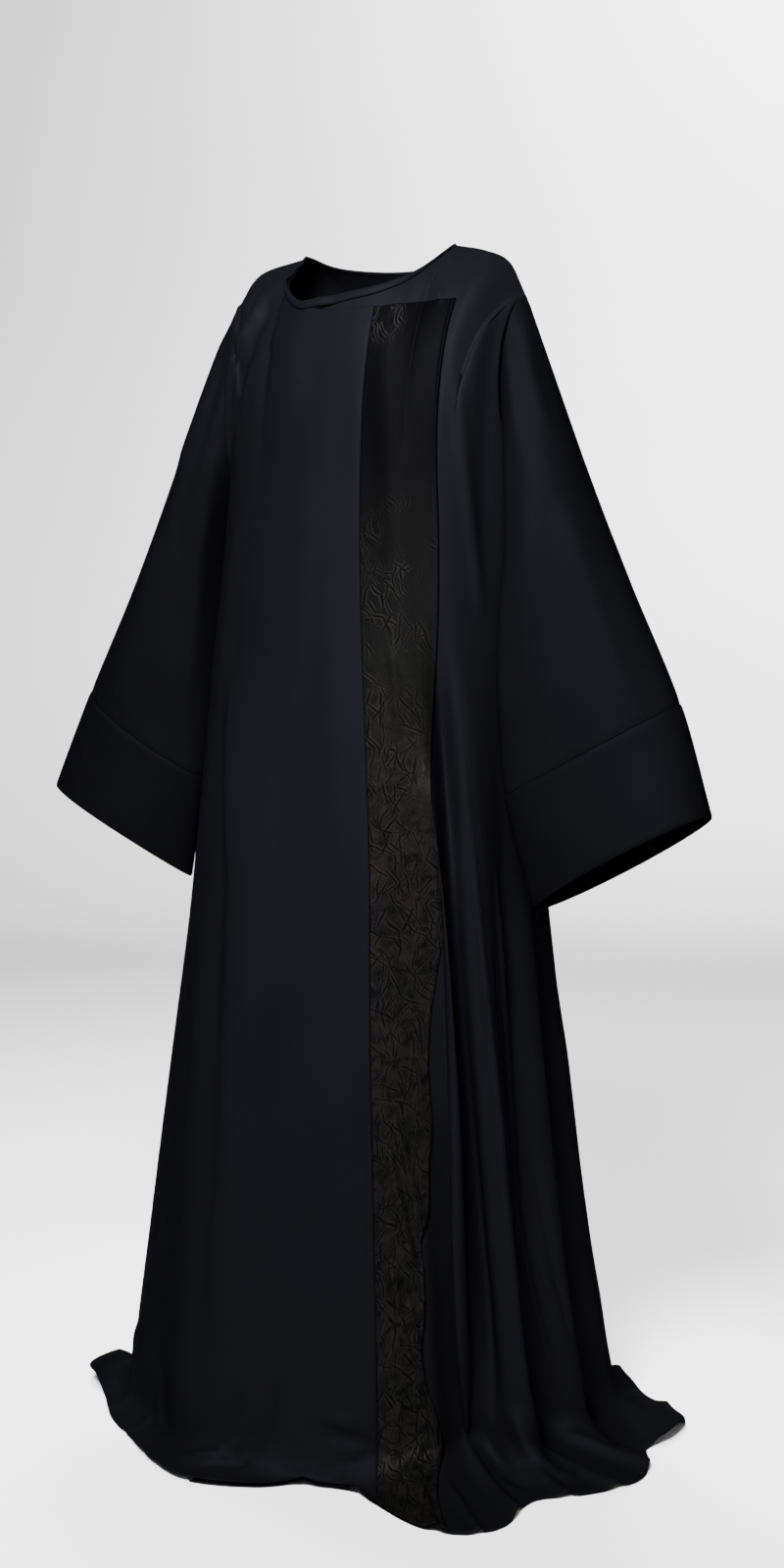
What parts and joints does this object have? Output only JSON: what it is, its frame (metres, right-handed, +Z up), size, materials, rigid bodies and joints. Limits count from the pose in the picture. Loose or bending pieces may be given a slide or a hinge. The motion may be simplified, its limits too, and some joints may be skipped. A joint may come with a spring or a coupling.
{
  "type": "abaya cloak",
  "caption": "Floor-length wrap abaya in black crepe with a tonal jacquard band down the wrap's edge, flared sleeves and deep cuffs, in its worn, hollow form.",
  "frame": {"origin": "midway between the two points where the shoulder seams meet the neckline, where the wearer's neck and shoulders hold the garment up", "axes": "+Z up along the wearer's spine, -Y the wearer's front, +X the wearer's left"},
  "size_m": [0.92, 0.6638, 1.4336],
  "materials": {
    "crepe": "soft low sheen, finely grained crepe, black with a blue cast",
    "band_jacquard": "slightly glossier brown-black jacquard with a raised twig pattern"
  },
  "bodies": {
    "root": {"back": "crepe", "front_left": "crepe", "front_right": "crepe", "front_band": "band_jacquard", "neck_binding": "crepe", "sleeve_left": "crepe", "sleeve_right": "crepe", "cuff_left": "crepe", "cuff_right": "crepe"}
  },
  "joints": []
}
